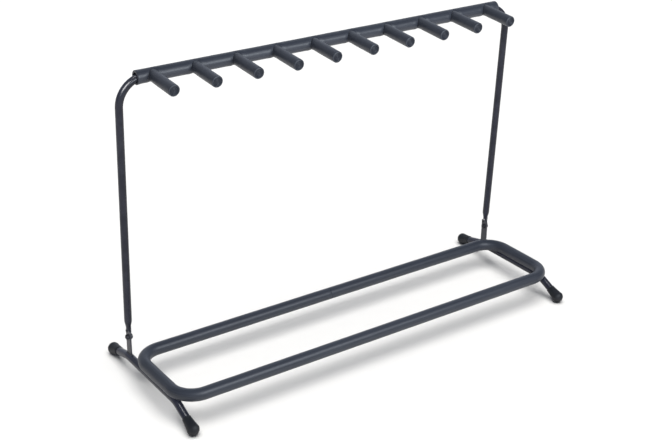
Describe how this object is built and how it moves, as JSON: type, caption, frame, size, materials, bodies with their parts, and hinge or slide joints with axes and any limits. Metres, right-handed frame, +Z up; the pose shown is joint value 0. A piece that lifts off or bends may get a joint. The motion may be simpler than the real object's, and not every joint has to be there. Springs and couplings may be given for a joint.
{
  "type": "guitar rack",
  "caption": "Folding floor rack for guitars: a padded neck rail with padded pegs on bent tube uprights, hinged to a low padded tube loop on bent feet with rubber boots.",
  "frame": {"origin": "on the floor under the centre of the rack's bounding box", "axes": "+X along the neck rail to the right, +Y to the back (the pegs point to -Y), +Z up"},
  "size_m": [1.0022, 0.3721, 0.6646],
  "materials": {
    "black_paint": "gloss black powder coat on steel tube",
    "bracket_paint": "satin black powder coat on flat bar",
    "foam_sleeve": "closed-cell foam sleeve, matte charcoal with a fine skin",
    "black_hardware": "black oxide steel fasteners",
    "black_plastic": "moulded black plastic",
    "boot_rubber": "matte black rubber boots"
  },
  "bodies": {
    "base": {"front_left_foot_cap": "boot_rubber", "front_right_foot_cap": "boot_rubber", "left_foot_tube": "black_paint", "left_friction_disc": "black_plastic", "left_hinge_strap": "bracket_paint", "left_pivot_bolt": "black_hardware", "left_pivot_nut": "black_hardware", "left_pivot_washer": "black_hardware", "left_stop_rivet": "black_hardware", "loop_foam": "foam_sleeve", "loop_foam_corners": "foam_sleeve", "loop_joiner": "black_paint", "loop_screws": "black_hardware", "loop_tube": "black_paint", "rear_left_foot_cap": "boot_rubber", "rear_right_foot_cap": "boot_rubber", "right_foot_tube": "black_paint", "right_friction_disc": "black_plastic", "right_hinge_strap": "bracket_paint", "right_pivot_bolt": "black_hardware", "right_pivot_nut": "black_hardware", "right_pivot_washer": "black_hardware", "right_stop_rivet": "black_hardware"},
    "upright_frame": {"left_upright_tube": "black_paint", "left_hinge_eye": "bracket_paint", "right_upright_tube": "black_paint", "right_hinge_eye": "bracket_paint", "rail_tube": "black_paint", "rail_foam": "foam_sleeve", "rail_screws": "black_hardware", "peg_tube_01": "black_paint", "peg_foam_01": "foam_sleeve", "peg_plug_01": "black_plastic", "peg_tube_02": "black_paint", "peg_foam_02": "foam_sleeve", "peg_plug_02": "black_plastic", "peg_tube_03": "black_paint", "peg_foam_03": "foam_sleeve", "peg_plug_03": "black_plastic", "peg_tube_04": "black_paint", "peg_foam_04": "foam_sleeve", "peg_plug_04": "black_plastic", "peg_tube_05": "black_paint", "peg_foam_05": "foam_sleeve", "peg_plug_05": "black_plastic", "peg_tube_06": "black_paint", "peg_foam_06": "foam_sleeve", "peg_plug_06": "black_plastic", "peg_tube_07": "black_paint", "peg_foam_07": "foam_sleeve", "peg_plug_07": "black_plastic", "peg_tube_08": "black_paint", "peg_foam_08": "foam_sleeve", "peg_plug_08": "black_plastic", "peg_tube_09": "black_paint", "peg_foam_09": "foam_sleeve", "peg_plug_09": "black_plastic", "peg_tube_10": "black_paint", "peg_foam_10": "foam_sleeve", "peg_plug_10": "black_plastic"}
  },
  "joints": [
    {"name": "upright_fold", "type": "hinge", "parent": "base", "child": "upright_frame", "pos_m": [0, 0.0975, 0.082], "axis": [1, 0, 0], "range_deg": [0, 88]}
  ]
}
